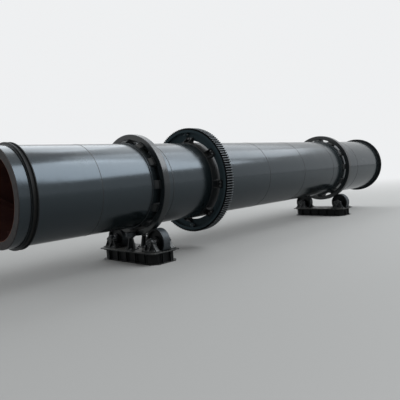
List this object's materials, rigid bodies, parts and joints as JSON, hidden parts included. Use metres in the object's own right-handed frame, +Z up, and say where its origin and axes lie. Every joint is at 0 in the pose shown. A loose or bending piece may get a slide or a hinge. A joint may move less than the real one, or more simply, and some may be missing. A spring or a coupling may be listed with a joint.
{
  "type": "rotary drum dryer",
  "caption": "Long rotating drum dryer with riding tyres, a toothed girth gear and inner lifting flights, carried on rollers in two low welded base frames.",
  "frame": {"origin": "on the ground under the middle of the drum's length", "axes": "+X along the drum from feed end to discharge end, +Z up, the pictured side faces -Y"},
  "size_m": [12, 2.1436, 2.452],
  "materials": {
    "shell_paint": "semi-gloss",
    "primer": "matt",
    "tyre_steel": "semi-gloss",
    "gear_steel": "satin",
    "base_paint": "satin",
    "roller_steel": "machined",
    "shaft_steel": "turned"
  },
  "bodies": {
    "supports": {"feed_base_frame": "base_paint", "feed_deck_plate": "base_paint", "feed_front_bearings": "base_paint", "feed_rear_bearings": "base_paint", "feed_thrust_brackets": "base_paint", "discharge_base_frame": "base_paint", "discharge_deck_plate": "base_paint", "discharge_front_bearings": "base_paint", "discharge_rear_bearings": "base_paint"},
    "drum": {"shell_course_1": "shell_paint", "shell_course_2": "shell_paint", "shell_course_3": "shell_paint", "shell_course_4": "shell_paint", "shell_course_5": "shell_paint", "shell_course_6": "shell_paint", "shell_course_7": "shell_paint", "shell_course_8": "shell_paint", "feed_retaining_ring": "primer", "feed_seal_ring": "shell_paint", "discharge_seal_ring": "shell_paint", "feed_tyre": "tyre_steel", "feed_tyre_band": "shell_paint", "feed_tyre_pads": "shell_paint", "discharge_tyre": "tyre_steel", "discharge_tyre_band": "shell_paint", "discharge_tyre_pads": "shell_paint", "girth_gear_front_half": "gear_steel", "girth_gear_rear_half": "gear_steel", "girth_gear_mounting_ring": "shell_paint", "feed_flights": "primer", "lifting_flights_1": "primer", "lifting_flights_2": "primer", "lifting_flights_3": "primer", "lifting_flights_4": "primer"},
    "feed_front_roller_set": {"feed_front_roller": "roller_steel", "feed_front_shaft": "shaft_steel"},
    "feed_rear_roller_set": {"feed_rear_roller": "roller_steel", "feed_rear_shaft": "shaft_steel"},
    "feed_thrust_left": {"feed_thrust_roller_left": "roller_steel"},
    "feed_thrust_right": {"feed_thrust_roller_right": "roller_steel"},
    "discharge_front_roller_set": {"discharge_front_roller": "roller_steel", "discharge_front_shaft": "shaft_steel"},
    "discharge_rear_roller_set": {"discharge_rear_roller": "roller_steel", "discharge_rear_shaft": "shaft_steel"}
  },
  "joints": [
    {"name": "drum_spin", "type": "hinge", "parent": "supports", "child": "drum", "pos_m": [0, 0, 1.38018], "axis": [1, 0, 0], "continuous": true},
    {"name": "feed_front_roller_spin", "type": "hinge", "parent": "supports", "child": "feed_front_roller_set", "pos_m": [-3.46, -0.58265, 0.371], "axis": [1, 0, 0], "continuous": true},
    {"name": "feed_rear_roller_spin", "type": "hinge", "parent": "supports", "child": "feed_rear_roller_set", "pos_m": [-3.46, 0.58265, 0.371], "axis": [1, 0, 0], "continuous": true},
    {"name": "feed_thrust_left_spin", "type": "hinge", "parent": "supports", "child": "feed_thrust_left", "pos_m": [-3.6153, 0, 0.48], "axis": [0, 0, 1], "continuous": true},
    {"name": "feed_thrust_right_spin", "type": "hinge", "parent": "supports", "child": "feed_thrust_right", "pos_m": [-3.3047, 0, 0.48], "axis": [0, 0, 1], "continuous": true},
    {"name": "discharge_front_roller_spin", "type": "hinge", "parent": "supports", "child": "discharge_front_roller_set", "pos_m": [3.5, -0.58265, 0.371], "axis": [1, 0, 0], "continuous": true},
    {"name": "discharge_rear_roller_spin", "type": "hinge", "parent": "supports", "child": "discharge_rear_roller_set", "pos_m": [3.5, 0.58265, 0.371], "axis": [1, 0, 0], "continuous": true}
  ],
  "couplings": [
    {"joint": "feed_front_roller_spin", "follows": "drum_spin", "ratio": -4},
    {"joint": "feed_rear_roller_spin", "follows": "drum_spin", "ratio": -4},
    {"joint": "feed_thrust_left_spin", "follows": "drum_spin", "ratio": 9.9144},
    {"joint": "feed_thrust_right_spin", "follows": "drum_spin", "ratio": -9.9144},
    {"joint": "discharge_front_roller_spin", "follows": "drum_spin", "ratio": -4},
    {"joint": "discharge_rear_roller_spin", "follows": "drum_spin", "ratio": -4}
  ]
}
